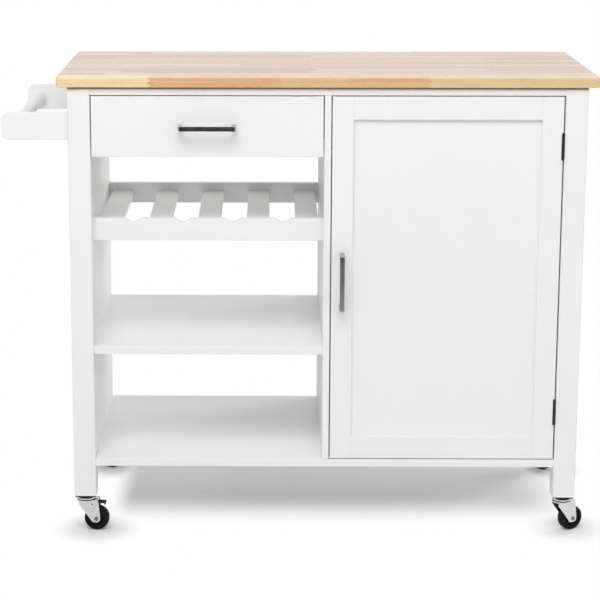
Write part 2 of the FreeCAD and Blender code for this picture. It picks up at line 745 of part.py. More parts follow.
def pull(tag):
    """Flat bar bent to a U, its feet on the XZ plane and its grip towards -Y."""
    body = new_body(f"pull_{tag}")
    shape = sketch_on(body, "XY_Plane")
    half = "pull_length / 2"
    inner = f"({half} - pull_foot)"
    throat = "pull_thickness - pull_reach"
    polygon(shape, [(f"-{half}", "0"), (f"-{half}", "-pull_reach"), (half, "-pull_reach"), (half, "0"),
                    (inner, "0"), (inner, throat), (f"-{inner}", throat), (f"-{inner}", "0")])
    pad(body, shape, "pull_width", both=True)

    def bend(edge):
        centre = edge.CenterOfMass
        return along(axis_z)(edge) and abs(centre.y) > 0.99 * sheet.get("pull_reach")
    soften(body, "Fillet", "pull_bend", bend)

    def rim(edge):
        return edge.BoundBox.ZLength < 0.01 and edge.BoundBox.YMin < -0.01
    soften(body, "Fillet", "pull_edge", rim)
    return body


def pull_screws(tag, axis, x, z, reach):
    """Two machine screws from the back of the panel into the pull's feet."""
    spread = "(pull_length - pull_foot) / 2"
    pair = []
    for step in (-1, 1):
        px = f"{x} + {step} * {spread}" if axis == "x" else x
        pz = f"{z} + {step} * {spread}" if axis == "z" else z
        name = f"{tag}_{step + 1}"
        shank = rod(f"pull_shank_{name}", "y", "pull_screw_radius",
                    f"{reach} + pull_screw_bite", px, "front - pull_screw_bite", pz)
        cap = rod(f"pull_cap_{name}", "y", "pull_screw_head", "pull_screw_cap",
                  px, f"front + {reach}", pz)
        pair.append(fuse(f"pull_screw_{name}", [shank, cap]))
    return gather(f"{tag}_pull_screw_group", pair)


# Drawer -----------------------------------------------------------------------

def drawer():
    x_mid = "(drawer_left + drawer_right) / 2"
    z_mid = "(drawer_low + front_top) / 2"
    screws = node(pull_screws("drawer", "x", x_mid, z_mid, "drawer_front_thickness"),
                  "drawer_pull_screws")
    body = place(pull("drawer"), x_mid, "front", z_mid)
    node(cut("drawer_pull_drilled", body, screws), "drawer_pull")

    floor = block("drawer_sheet",
                  ("box_left + drawer_side_thickness - drawer_groove",
                   "box_right - drawer_side_thickness + drawer_groove"),
                  ("box_front - drawer_groove", "box_back"),
                  ("box_floor", "box_floor + drawer_floor_thickness"))
    node(floor, "drawer_bottom")
    face = board("drawer_face", ("drawer_left", "drawer_right"), ("front", "box_front"),
                 ("drawer_low", "front_top"))
    node(cut("drawer_face_cut", face, screws, floor), "drawer_front")
    high = ("box_low", "box_low + drawer_side_height")
    for name, x in (("left", ("box_left", "box_left + drawer_side_thickness")),
                    ("right", ("box_right - drawer_side_thickness", "box_right"))):
        blank = block(f"drawer_side_{name}_blank", x, ("box_front", "box_back"), high)
        node(cut(f"drawer_side_{name}_cut", blank, floor), f"drawer_side_{name}")
    node(block("drawer_rear", ("box_left + drawer_side_thickness", "box_right - drawer_side_thickness"),
               ("box_back - drawer_side_thickness", "box_back"),
               ("box_floor + drawer_floor_thickness", high[1])), "drawer_back")


def runners():
    """Channels on the bay's walls and the members on the drawer that run in them."""
    deep = ("box_front", "box_back")
    channels = []
    members = []
    for name, wall, way in (("left", "left_in", 1), ("right", "divider_left", -1)):
        def span(near, far):
            low, high = (near, far) if way > 0 else (far, near)
            sign = "+" if way > 0 else "-"
            return f"{wall} {sign} ({low})", f"{wall} {sign} ({high})"
        outer = block(f"channel_{name}", span("0", "runner_depth"), deep,
                      ("runner_low", "runner_low + runner_height"))
        hollow = block(f"channel_space_{name}", span("runner_wall", "runner_width"),
                       ("box_front - 1", "box_back + 1"),
                       ("runner_low + runner_wall", "runner_low + runner_height - runner_wall"))
        channels.append(cut(f"runner_{name}", outer, hollow))
        members.append(block(f"member_{name}", span("runner_wall + runner_play", "runner_width"), deep,
                             ("runner_low + runner_wall + runner_play",
                              "runner_low + runner_height - runner_wall - runner_play")))
    node(gather("channel_pair", channels), "drawer_runners")
    node(gather("member_pair", members), "drawer_slides")


# Door -------------------------------------------------------------------------

def door(hinge_screws, notches):
    stiles = {"left": ("door_left", "door_left + stile_width"),
              "right": ("door_right - stile_width", "door_right")}
    inside = (stiles["left"][1], stiles["right"][0])
    deep = ("front", "door_back")
    rails = {"bottom": ("door_low", "door_low + door_rail_height"),
             "top": ("front_top - door_rail_height", "front_top")}
    x_pull = "door_left + stile_width / 2"
    z_pull = "(door_low + front_top) / 2"
    screws = node(pull_screws("door", "z", x_pull, z_pull, "door_thickness"), "door_pull_screws")
    body = pull("door")
    body.Placement = FreeCAD.Placement(FreeCAD.Vector(), FreeCAD.Rotation(axis_y, 90))
    place(body, x_pull, "front", z_pull)
    node(cut("door_pull_drilled", body, screws), "door_pull")

    panel = block("door_sheet", (f"{inside[0]} - door_groove", f"{inside[1]} + door_groove"),
                  ("front + door_panel_recess", "front + door_panel_recess + door_panel_thickness"),
                  (f"{rails['bottom'][1]} - door_groove", f"{rails['top'][0]} + door_groove"))
    node(panel, "door_panel")
    for name, x in stiles.items():
        def outer_rim(edge):
            joint = sheet.get("stile_width") if name == "left" else 0
            return front_rim(edge) and abs(edge.CenterOfMass.x - joint) > 0.01
        blank = board(f"stile_{name}", x, deep, ("door_low", "front_top"), outer_rim)
        tools = [panel, screws] if name == "left" else [panel, hinge_screws] + notches
        node(cut(f"stile_{name}_cut", blank, *tools), f"door_stile_{name}")
    for name, z in rails.items():
        def outer_edge(edge):
            outer = sheet.get("door_rail_height") if name == "top" else 0
            return front_long(edge) and abs(edge.CenterOfMass.z - outer) < 0.01
        blank = board(f"door_rail_{name}", inside, deep, z, outer_edge)
        node(cut(f"door_rail_{name}_cut", blank, panel), f"door_{name}_rail")


def catch():
    """Magnetic catch on the divider and its steel strike on the door."""
    high = ("front_top - catch_drop - catch_length", "front_top - catch_drop")
    x = ("divider_right", "divider_right + catch_width")
    start = "door_back + strike_thickness + catch_play"
    node(block("magnet_case", x, (start, f"{start} + catch_depth"), high), "door_catch")
    node(block("strike", (f"{x[0]} + reveal + strike_margin", f"{x[1]} + strike_margin"),
               ("door_back", "door_back + strike_thickness"),
               (f"{high[0]} + strike_margin", f"{high[1]} - strike_margin")), "door_strike_plate")


# Assembly ---------------------------------------------------------------------

worktop()
leg_screws = casters()
leaf_screws, stile_screws, knuckle_spaces = hinges()
legs(leg_screws, leaf_screws)
panel_pins = shelf_pins()
carcass(panel_pins)
divider(panel_pins)
wine_rack()
towel_bar()
runners()
drawer()
door(stile_screws, knuckle_spaces)
catch()
doc.recompute()

for item in doc.Objects:
    if "Invalid" in item.State or "Error" in item.State:
        raise RuntimeError(f"{item.Name} failed: {item.State}")
for item in nodes:
    if item.Shape.isNull() or not item.Shape.isValid() or not item.Shape.Solids:
        raise RuntimeError(f"{item.Label} has no valid solid")

os.makedirs("parts", exist_ok=True)
for item in nodes:
    item.Shape.exportStep(f"parts/{item.Label}.step")
print(len(nodes), "nodes written")
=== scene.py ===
import math

import bmesh
import bpy
from mathutils import Matrix, Vector
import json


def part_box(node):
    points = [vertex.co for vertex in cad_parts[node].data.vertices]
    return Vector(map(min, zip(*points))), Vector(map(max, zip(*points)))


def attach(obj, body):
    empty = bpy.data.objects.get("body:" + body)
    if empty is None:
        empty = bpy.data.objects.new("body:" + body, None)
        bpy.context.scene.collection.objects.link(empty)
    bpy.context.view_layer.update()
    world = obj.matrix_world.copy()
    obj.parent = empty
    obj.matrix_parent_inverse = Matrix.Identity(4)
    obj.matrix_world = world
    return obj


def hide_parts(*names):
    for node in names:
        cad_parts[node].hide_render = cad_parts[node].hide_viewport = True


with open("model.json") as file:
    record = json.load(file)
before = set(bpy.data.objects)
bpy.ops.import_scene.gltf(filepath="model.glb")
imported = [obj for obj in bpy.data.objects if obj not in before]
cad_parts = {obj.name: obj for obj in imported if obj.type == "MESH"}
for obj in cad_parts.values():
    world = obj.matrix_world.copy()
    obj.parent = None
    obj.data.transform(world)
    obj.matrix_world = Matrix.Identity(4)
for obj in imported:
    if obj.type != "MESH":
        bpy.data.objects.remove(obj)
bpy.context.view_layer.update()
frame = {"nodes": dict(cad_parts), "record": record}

cadNodes = frame["nodes"]
print("frame loaded:", len(cadNodes), "nodes")


def addNode(tree, kind, settings=None, **sockets):
    # a node with its properties and inputs; an input is a value or an output to link
    node = tree.nodes.new("ShaderNode" + kind)
    for key, value in (settings or {}).items():
        setattr(node, key, value)
    for key, value in sockets.items():
        numbered = key[0] == "i" and key[1:].isdigit()
        socket = node.inputs[int(key[1:]) if numbered else key.replace("_", " ")]
        if isinstance(value, bpy.types.NodeSocket):
            tree.links.new(value, socket)
        else:
            socket.default_value = value
    return node


def maths(tree, operation, *values, clamp=False):
    node = addNode(tree, "Math", {"operation": operation, "use_clamp": clamp},
                   **{f"i{index}": value for index, value in enumerate(values)})
    return node.outputs[0]


def spread(tree, value, low, high, newLow=0.0, newHigh=1.0):
    node = addNode(tree, "MapRange", None, Value=value, From_Min=low, From_Max=high,
                   To_Min=newLow, To_Max=newHigh)
    return node.outputs["Result"]


def mixColors(tree, factor, first, second, blend="MIX"):
    node = addNode(tree, "Mix", {"data_type": "RGBA", "blend_type": blend})
    for index, value in ((0, factor), (6, first), (7, second)):
        if isinstance(value, bpy.types.NodeSocket):
            tree.links.new(value, node.inputs[index])
        else:
            node.inputs[index].default_value = value
    return node.outputs[2]


def ramp(tree, factor, stops, interpolation="LINEAR"):
    node = addNode(tree, "ValToRGB", None, Fac=factor)
    curve = node.color_ramp
    curve.interpolation = interpolation
    while len(curve.elements) < len(stops):
        curve.elements.new(0.5)
    for element, (place, color) in zip(curve.elements, stops):
        element.position = place
        element.color = color
    return node.outputs["Color"]


def noise(tree, vector, scale, detail=2.0, roughness=0.5, distortion=0.0, seed=0.0):
    node = addNode(tree, "TexNoise", {"noise_dimensions": "4D"}, Vector=vector, W=seed, Scale=scale,
                   Detail=detail, Roughness=roughness, Distortion=distortion)
    return node.outputs["Fac"]


def stretch(tree, vector, factors):
    return addNode(tree, "VectorMath", {"operation": "MULTIPLY"}, i0=vector, i1=factors).outputs[0]


def objectPlace(tree):
    return addNode(tree, "TexCoord").outputs["Object"]


def scaled(tree, color, factor):
    return addNode(tree, "VectorMath", {"operation": "SCALE"}, i0=color, Scale=factor).outputs[0]


def fading(tree, value, full, gone):
    # 1 at one value and 0 at the other, with a soft start and end
    return addNode(tree, "MapRange", {"interpolation_type": "SMOOTHSTEP"}, Value=value, From_Min=full,
                   From_Max=gone, To_Min=1.0, To_Max=0.0).outputs["Result"]


def opaque(color):
    return (*color, 1.0)


def newMaterial(name, **settings):
    material = bpy.data.materials.new(name)
    material.use_nodes = True
    tree = material.node_tree
    tree.nodes.clear()
    shader = addNode(tree, "BsdfPrincipled", None, **settings)
    output = addNode(tree, "OutputMaterial")
    tree.links.new(shader.outputs[0], output.inputs["Surface"])
    return material, tree, shader


def feed(tree, shader, **links):
    for key, output in links.items():
        tree.links.new(output, shader.inputs[key.replace("_", " ")])


def bumpFrom(tree, height, strength, distance):
    bump = addNode(tree, "Bump", None, Height=height, Strength=strength, Distance=distance)
    return bump.outputs[0]


def newGroup(name, inputs, outputs):
    # an empty shader group; inputs are (name, kind, default) and outputs (name, kind)
    group = bpy.data.node_groups.new(name, "ShaderNodeTree")
    for label, kind, default in inputs:
        socket = group.interface.new_socket(name=label, in_out="INPUT",
                                            socket_type="NodeSocket" + kind)
        socket.default_value = default
    for label, kind in outputs:
        group.interface.new_socket(name=label, in_out="OUTPUT", socket_type="NodeSocket" + kind)
    entry = group.nodes.new("NodeGroupInput")
    leave = group.nodes.new("NodeGroupOutput")
    return group, entry.outputs, leave.inputs


def useGroup(tree, group, **sockets):
    node = tree.nodes.new("ShaderNodeGroup")
    node.node_tree = group
    for key, value in sockets.items():
        socket = node.inputs[key.replace("_", " ")]
        if isinstance(value, bpy.types.NodeSocket):
            tree.links.new(value, socket)
        else:
            socket.default_value = value
    return node.outputs


def makeEdgeMask():
    # 1 on rounded or sharp convex edges within Width, 0 on flats, broken up by a noise
    group, given, result = newGroup(
        "edgeMask",
        [("Place", "Vector", (0, 0, 0)), ("Width", "Float", 0.001), ("Breakup", "Float", 0.5)],
        [("Mask", "Float")])
    rounded = addNode(group, "Bevel", {"samples": 4}, Radius=given["Width"])
    plain = addNode(group, "NewGeometry")
    aligned = addNode(group, "VectorMath", {"operation": "DOT_PRODUCT"},
                      i0=rounded.outputs[0], i1=plain.outputs["Normal"]).outputs["Value"]
    edge = spread(group, aligned, 0.995, 0.85)
    patches = noise(group, given["Place"], 60.0, 3.0, 0.6)
    patches = spread(group, patches, 0.35, 0.65)
    broken = maths(group, "MULTIPLY", patches, given["Breakup"])
    kept = maths(group, "SUBTRACT", 1.0, broken)
    group.links.new(maths(group, "MULTIPLY", edge, kept, clamp=True), result["Mask"])
    return group


def makePaintCoat():
    # sprayed lacquer: a fine orange peel, faint drifts in tone, and gloss that varies slowly
    group, given, result = newGroup(
        "paintCoat",
        [("Place", "Vector", (0, 0, 0)), ("Paint", "Color", (0.8, 0.8, 0.8, 1)),
         ("Drift", "Float", 0.02), ("Gloss", "Float", 0.4), ("Peel", "Float", 700.0)],
        [("Color", "Color"), ("Roughness", "Float"), ("Height", "Float")])
    slow = noise(group, given["Place"], 3.5, 2.0, 0.5)
    fine = noise(group, given["Place"], given["Peel"], 2.0, 0.5, seed=3.0)
    grit = noise(group, given["Place"], 95.0, 3.0, 0.6, seed=7.0)
    shade = maths(group, "ADD", maths(group, "MULTIPLY", slow, 0.7),
                  maths(group, "MULTIPLY", grit, 0.3))
    low = maths(group, "SUBTRACT", 1.0, given["Drift"])
    level = spread(group, shade, 0.3, 0.7, low, 1.0)
    group.links.new(scaled(group, given["Paint"], level), result["Color"])
    rough = maths(group, "ADD", given["Gloss"], spread(group, grit, 0.3, 0.7, -0.04, 0.06))
    group.links.new(rough, result["Roughness"])
    group.links.new(fine, result["Height"])
    return group


def makeBrushedGrain():
    # long hairlines along one axis, as left by a brush or a belt
    group, given, result = newGroup(
        "brushedGrain",
        [("Place", "Vector", (0, 0, 0)), ("Along", "Vector", (6, 900, 900)),
         ("Contrast", "Float", 0.3)],
        [("Shade", "Float"), ("Height", "Float"), ("Smudge", "Float")])
    lines = addNode(group, "VectorMath", {"operation": "MULTIPLY"}, i0=given["Place"],
                    i1=given["Along"]).outputs[0]
    hair = noise(group, lines, 1.0, 4.0, 0.65)
    smudge = noise(group, given["Place"], 55.0, 3.0, 0.6, seed=2.0)
    low = maths(group, "SUBTRACT", 1.0, given["Contrast"])
    group.links.new(spread(group, hair, 0.3, 0.7, low, 1.0), result["Shade"])
    group.links.new(hair, result["Height"])
    group.links.new(smudge, result["Smudge"])
    return group


edgeMask = makeEdgeMask()
paintCoat = makePaintCoat()
brushedGrain = makeBrushedGrain()
print("shader groups ready")


worktopWood = {
    "rows": 12,                # glued staves across the depth
    "shortStave": 0.24, "longStave": 0.46,
    "fingerDepth": 0.009, "fingerPitch": 0.0042,
    "frontStaves": [           # where each stave of the front row starts, and its tone
        (0.0, 0.80), (0.174, 0.16), (0.416, 0.55), (0.540, 0.26), (0.691, 0.66)],
    "frontTones": [(0.740, 0.425, 0.200), (0.775, 0.455, 0.226), (0.800, 0.518, 0.262),
                   (0.775, 0.528, 0.290), (0.900, 0.690, 0.390), (0.835, 0.622, 0.350)],
    # the top rows' tones are the front's made darker and richer: painted shade on the top
    "topTonesShaded": [(0.520, 0.292, 0.170), (0.590, 0.360, 0.222), (0.650, 0.435, 0.272),
                 (0.605, 0.395, 0.272), (0.725, 0.515, 0.318), (0.680, 0.485, 0.335)],
    "grainDark": 0.14, "poreDark": 0.18,
    # the end values darken both ends: end grain and painted shade
    "endDark": 0.50, "endReach": 0.0016, "endFull": 0.0004,
    "rowLine": 0.011, "endLine": 0.0005, "lineShade": 0.86,    # glue lines
    "gloss": 0.27,
}


def makeWorktopWood():
    values = worktopWood
    low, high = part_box("worktop")
    material, tree, shader = newMaterial("oiledButcherBlock", Coat_Weight=0.3, Coat_Roughness=0.14)
    place = objectPlace(tree)
    axes = addNode(tree, "SeparateXYZ", None, Vector=place).outputs
    rowWidth = (high.y - low.y + 0.001) / values["rows"]
    across = maths(tree, "DIVIDE", maths(tree, "SUBTRACT", axes["Y"], low.y - 0.0005), rowWidth)
    row = maths(tree, "FLOOR", across)
    chance = addNode(tree, "TexWhiteNoise", {"noise_dimensions": "2D"},
                     Vector=addNode(tree, "CombineXYZ", None, X=row, Y=4.2).outputs[0]).outputs
    length = spread(tree, chance["Value"], 0.0, 1.0, values["shortStave"], values["longStave"])
    chanceAxes = addNode(tree, "SeparateColor", None, Color=chance["Color"]).outputs
    # the stave ends interlock in fingers, so the end line zigzags across the row
    teeth = maths(tree, "PINGPONG", maths(tree, "ADD", axes["Y"], axes["Z"]), values["fingerPitch"])
    teeth = maths(tree, "MULTIPLY", teeth, values["fingerDepth"] / values["fingerPitch"])
    along = maths(tree, "ADD", maths(tree, "ADD", axes["X"], teeth),
                  maths(tree, "MULTIPLY", chanceAxes["Green"], 3.0))
    cell = maths(tree, "FLOOR", maths(tree, "DIVIDE", along, length))
    seed = addNode(tree, "CombineXYZ", None, X=row, Y=cell, Z=1.7).outputs[0]
    random = addNode(tree, "TexWhiteNoise", {"noise_dimensions": "3D"}, Vector=seed).outputs
    # the front row has its own run of staves
    frontPlace = spread(tree, maths(tree, "ADD", axes["X"], teeth), low.x, high.x)
    frontStops = [(start, (tone, tone, tone, 1)) for start, tone in values["frontStaves"]]
    frontTone = ramp(tree, frontPlace, frontStops, "CONSTANT")
    isFront = maths(tree, "LESS_THAN", row, 0.5)
    tone = mixColors(tree, isFront, random["Value"], frontTone)
    # the top rows take the darker palette, painted shade for a top that catches more lamp light
    palettes = []
    for key in ("topTonesShaded", "frontTones"):
        last = len(values[key]) - 1
        stops = [(index / last, opaque(color)) for index, color in enumerate(values[key])]
        palettes.append(ramp(tree, tone, stops))
    base = mixColors(tree, isFront, *palettes)
    # fine streaks, broad rings and short dark pores, shifted from stave to stave
    shift = scaled(tree, random["Color"], 7.0)
    moved = addNode(tree, "VectorMath", {"operation": "ADD"}, i0=place, i1=shift).outputs[0]
    streaks = noise(tree, stretch(tree, moved, (5, 170, 170)), 1.0, 4.0, 0.6)
    rings = addNode(tree, "TexWave", {"wave_type": "BANDS", "bands_direction": "Y"},
                    Vector=stretch(tree, moved, (0.9, 22, 22)), Scale=1.0, Distortion=5.0,
                    Detail=2.0, Detail_Scale=0.6).outputs["Fac"]
    pores = noise(tree, stretch(tree, moved, (60, 1500, 1500)), 1.0, 1.0, 0.5)
    pores = spread(tree, pores, 0.60, 0.70)
    grain = maths(tree, "ADD", maths(tree, "MULTIPLY", spread(tree, streaks, 0.3, 0.7), 0.6),
                  maths(tree, "MULTIPLY", rings, 0.4))
    grainDark = values["grainDark"]
    grainShade = spread(tree, grain, 0.0, 1.0, 1.0 - grainDark, 1.0 + grainDark * 0.4)
    poreShade = spread(tree, pores, 0.0, 1.0, 1.0, 1.0 - values["poreDark"])
    # glue lines between rows and at the fingers
    rowEdge = maths(tree, "PINGPONG", across, 0.5)
    rowLine = spread(tree, rowEdge, 0.0, values["rowLine"], 1.0, 0.0)
    endEdge = maths(tree, "PINGPONG", maths(tree, "DIVIDE", along, length), 0.5)
    endLine = spread(tree, maths(tree, "MULTIPLY", endEdge, length), 0.0, values["endLine"], 1.0, 0.0)
    endLine = maths(tree, "MULTIPLY", endLine, maths(tree, "SUBTRACT", 1.0, isFront))
    line = maths(tree, "MAXIMUM", rowLine, endLine)
    lineShade = spread(tree, line, 0.0, 1.0, 1.0, values["lineShade"])
    shade = maths(tree, "MULTIPLY", maths(tree, "MULTIPLY", grainShade, poreShade), lineShade)
    # both ends and their corners are darker: partly end grain that drinks more oil, partly painted
    # shade on the end faces
    fromMiddle = maths(tree, "ABSOLUTE", maths(tree, "SUBTRACT", axes["X"], (low.x + high.x) / 2))
    reach = (high.x - low.x) / 2
    ends = spread(tree, fromMiddle, reach - values["endReach"], reach - values["endFull"],
                  1.0, values["endDark"])
    shade = maths(tree, "MULTIPLY", shade, ends)
    sunk = maths(tree, "ADD", maths(tree, "MULTIPLY", pores, 0.6), line)
    height = maths(tree, "SUBTRACT", grain, sunk)
    gloss = values["gloss"]
    feed(tree, shader, Base_Color=scaled(tree, base, shade),
         Roughness=spread(tree, streaks, 0.3, 0.7, gloss - 0.05, gloss + 0.07),
         Normal=bumpFrom(tree, height, 0.25, 0.00012))
    return material


whitePaint = {"color": (0.865, 0.865, 0.862), "drift": 0.022, "gloss": 0.38, "peel": 620.0,
              # the edge values darken the edges: thinner paint and painted shade
              "edgeColor": (0.56, 0.557, 0.55), "edgeWidth": 0.0014, "edgeShare": 0.55,
              # the next four values paint the shadow line just under the worktop
              "shadowLineColor": (0.10, 0.095, 0.09), "shadowLineHigh": 0.0030, "shadowLineFade": 0.0032,
              "shadowLineShare": 0.85}


def makeWhitePaint(name, paintedShadowLine=False):
    # sprayed white with darker edges, partly thinner paint and partly painted shade; the frame's own
    # coat also has a painted shadow line just under the worktop
    values = whitePaint
    material, tree, shader = newMaterial(name, Coat_Weight=0.1, Coat_Roughness=0.3)
    place = objectPlace(tree)
    coat = useGroup(tree, paintCoat, Place=place, Paint=opaque(values["color"]),
                    Drift=values["drift"], Gloss=values["gloss"], Peel=values["peel"])
    # darker edges: partly thinner paint, partly painted shade on the rounded edges
    edge = useGroup(tree, edgeMask, Place=place, Width=values["edgeWidth"], Breakup=0.5)["Mask"]
    thinAndShadedEdge = maths(tree, "MULTIPLY", edge, values["edgeShare"])
    color = mixColors(tree, thinAndShadedEdge, coat["Color"], opaque(values["edgeColor"]))
    if paintedShadowLine:
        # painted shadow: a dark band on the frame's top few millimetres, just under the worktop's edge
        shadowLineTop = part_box("worktop")[0].z - values["shadowLineHigh"]
        height = addNode(tree, "SeparateXYZ", None, Vector=place).outputs["Z"]
        line = spread(tree, height, shadowLineTop - values["shadowLineFade"], shadowLineTop, 0.0, values["shadowLineShare"])
        color = mixColors(tree, line, color, opaque(values["shadowLineColor"]))
    feed(tree, shader, Base_Color=color, Roughness=coat["Roughness"],
         Normal=bumpFrom(tree, coat["Height"], 0.12, 0.00008))
    return material


drawerLaminate = {"color": (0.80, 0.79, 0.765), "streak": (0.73, 0.715, 0.68), "gloss": 0.46}


def makeDrawerLaminate():
    # pale laminate with a faint printed linear grain
    values = drawerLaminate
    material, tree, shader = newMaterial("paleLaminate")
    place = objectPlace(tree)
    streaks = noise(tree, stretch(tree, place, (260, 9, 260)), 1.0, 4.0, 0.6)
    weave = noise(tree, place, 1400.0, 1.0, 0.5)
    color = mixColors(tree, spread(tree, streaks, 0.42, 0.7), opaque(values["color"]),
                      opaque(values["streak"]))
    gloss = values["gloss"]
    feed(tree, shader, Base_Color=color,
         Roughness=spread(tree, weave, 0.3, 0.7, gloss - 0.06, gloss + 0.06),
         Normal=bumpFrom(tree, maths(tree, "ADD", streaks, weave), 0.1, 0.00006))
    return material


satinNickel = {"color": (0.60, 0.59, 0.575), "gloss": 0.17, "contrast": 0.30}
# the door pull is the same satin nickel in a darker copy: painted shade
shadedDoorNickel = dict(satinNickel, color=(0.47, 0.46, 0.45))
brightZinc = {"color": (0.745, 0.755, 0.77), "stain": (0.67, 0.68, 0.695),
              # the lighter edge colour is a painted highlight
              "edgeGlint": (0.88, 0.885, 0.90), "gloss": 0.22}
boltSteel = {"color": (0.28, 0.28, 0.285), "gloss": 0.30, "contrast": 0.25}
hingePlate = {"color": (0.060, 0.059, 0.057), "gloss": 0.32, "contrast": 0.25}


def makeBrushedMetal(name, values, along):
    material, tree, shader = newMaterial(name, Metallic=1.0)
    place = objectPlace(tree)
    brushed = useGroup(tree, brushedGrain, Place=place, Along=along, Contrast=values["contrast"])
    edge = useGroup(tree, edgeMask, Place=place, Width=0.0006, Breakup=0.3)["Mask"]
    color = scaled(tree, values["color"], brushed["Shade"])
    # edges and bends lighter: a painted highlight
    bright = tuple(min(1.0, channel * 1.6) for channel in values["color"])
    color = mixColors(tree, maths(tree, "MULTIPLY", edge, 0.5), color, opaque(bright))
    gloss = values["gloss"]
    rough = maths(tree, "ADD", spread(tree, brushed["Smudge"], 0.3, 0.7, 0.0, 0.09),
                  spread(tree, brushed["Height"], 0.3, 0.7, gloss - 0.05, gloss + 0.05))
    feed(tree, shader, Base_Color=color, Roughness=rough,
         Normal=bumpFrom(tree, brushed["Height"], 0.12, 0.00004))
    return material


def makeBrightZinc():
    # plated pressings: crystal spangle, faint stains and brighter edges, a painted highlight
    values = brightZinc
    material, tree, shader = newMaterial("brightZinc", Metallic=1.0)
    place = objectPlace(tree)
    crystals = addNode(tree, "TexVoronoi", {"feature": "F1"}, Vector=place, Scale=420.0)
    spangle = addNode(tree, "SeparateColor", None, Color=crystals.outputs["Color"]).outputs["Red"]
    stain = noise(tree, place, 130.0, 4.0, 0.6)
    edge = useGroup(tree, edgeMask, Place=place, Width=0.0007, Breakup=0.4)["Mask"]
    color = mixColors(tree, spread(tree, stain, 0.48, 0.72), opaque(values["color"]),
                      opaque(values["stain"]))
    color = scaled(tree, color, spread(tree, spangle, 0.0, 1.0, 0.975, 1.015))
    # edges lighter: a painted highlight
    color = mixColors(tree, maths(tree, "MULTIPLY", edge, 0.5), color, opaque(values["edgeGlint"]))
    gloss = values["gloss"]
    rough = maths(tree, "ADD", spread(tree, stain, 0.3, 0.7, gloss - 0.06, gloss + 0.08),
                  maths(tree, "MULTIPLY", spangle, 0.05))
    height = maths(tree, "ADD", stain, maths(tree, "MULTIPLY", spangle, 0.3))
    feed(tree, shader, Base_Color=color, Roughness=rough, Normal=bumpFrom(tree, height, 0.1, 0.0001))
    return material


wheelRubber = {"color": (0.004, 0.004, 0.0045), "dustAndSheen": (0.026, 0.025, 0.024), "gloss": 0.42,
               "grain": 1500.0}
blackPlastic = {"color": (0.007, 0.007, 0.008), "dustAndSheen": (0.040, 0.040, 0.042), "gloss": 0.36,
                "grain": 1100.0}


def makeMoulded(name, values):
    # moulded black parts: fine grain, a little dust, and paler edges that are a painted highlight
    material, tree, shader = newMaterial(name)
    shader.inputs["Specular IOR Level"].default_value = 0.18
    place = objectPlace(tree)
    fine = noise(tree, place, values["grain"], 2.0, 0.5)
    cloud = noise(tree, place, 85.0, 4.0, 0.62, seed=5.0)
    edge = useGroup(tree, edgeMask, Place=place, Width=0.0009, Breakup=0.7)["Mask"]
    dustAndSheen = opaque(values["dustAndSheen"])
    color = mixColors(tree, spread(tree, cloud, 0.50, 0.80, 0.0, 0.45), opaque(values["color"]), dustAndSheen)
    # paler edges in the dust colour: a painted highlight
    color = mixColors(tree, maths(tree, "MULTIPLY", edge, 0.35), color, dustAndSheen)
    rough = spread(tree, cloud, 0.3, 0.75, values["gloss"], values["gloss"] + 0.22)
    feed(tree, shader, Base_Color=color, Roughness=rough,
         Normal=bumpFrom(tree, fine, 0.15, 0.00008))
    return material


materials = {
    "butcher_block": makeWorktopWood(),
    "white_paint": makeWhitePaint("whiteLacquer"),
    "drawer_lining": makeDrawerLaminate(),
    "satin_nickel": makeBrushedMetal("satinNickelX", satinNickel, (7.0, 1100.0, 1100.0)),
    "zinc_steel": makeBrightZinc(),
    "hinge_steel": makeBrushedMetal("hingePlate", hingePlate, (900.0, 900.0, 12.0)),
    "black_rubber": makeMoulded("wheelRubber", wheelRubber),
    "black_plastic": makeMoulded("blackPlastic", blackPlastic),
}
# the door pull's darker nickel copy, painted shade
shadedDoorPullNickel = makeBrushedMetal("satinNickelZ", shadedDoorNickel, (1100.0, 1100.0, 7.0))
boltMetal = makeBrushedMetal("boltSteel", boltSteel, (900.0, 12.0, 900.0))
framePaintWithShadowLine = makeWhitePaint("whiteLacquerFrameShadowLine", paintedShadowLine=True)
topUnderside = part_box("worktop")[0].z
underTop = [name for name in cadNodes
            if name != "worktop" and abs(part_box(name)[1].z - topUnderside) < 0.0001]


def dress(nodeName, material):
    mesh = cadNodes[nodeName].data
    mesh.materials.clear()
    mesh.materials.append(material)


for entry in frame["record"]["subparts"]:
    dress(entry["node"], materials[entry["material_slot"]])
dress("door_pull", shadedDoorPullNickel)
# the parts right under the worktop get the coat with the painted shadow line
for nodeName in underTop:
    dress(nodeName, framePaintWithShadowLine)
print("materials ready:", len(materials) + 3)


casterWheel = {
    "outer": 0.025, "halfWidth": 0.009, "crown": 0.0006,       # rolling face, slightly domed
    "shoulder": 0.003, "seamDepth": 0.00025, "seamHalf": 0.00035,
    "rim": 0.0172, "rimStep": 0.0005, "seat": 0.0022,
    "web": 0.0032, "hub": 0.0074, "bore": 0.00306, "hubFace": 0.0088,
    "ribs": 8, "ribHalf": 0.0007, "ribFace": 0.0070, "ribEdge": 0.0003,
    "ribSunk": 0.0004, "ribStop": 0.0011,                      # how far a rib goes into hub and rim
    "turns": 72,
}


def jointNamed(name):
    return next(joint for joint in frame["record"]["behaviour"]["joints"] if joint["name"] == name)


def wheelPlace(corner):
    # centre of the wheel and its turned frame: the axle lies along the frame's Y
    low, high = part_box("caster_wheel_" + corner)
    axis = Vector(jointNamed("roll_" + corner)["axis"]).normalized()
    turn = math.atan2(-axis.x, axis.y)
    return Matrix.Translation((low + high) / 2) @ Matrix.Rotation(turn, 4, "Z")


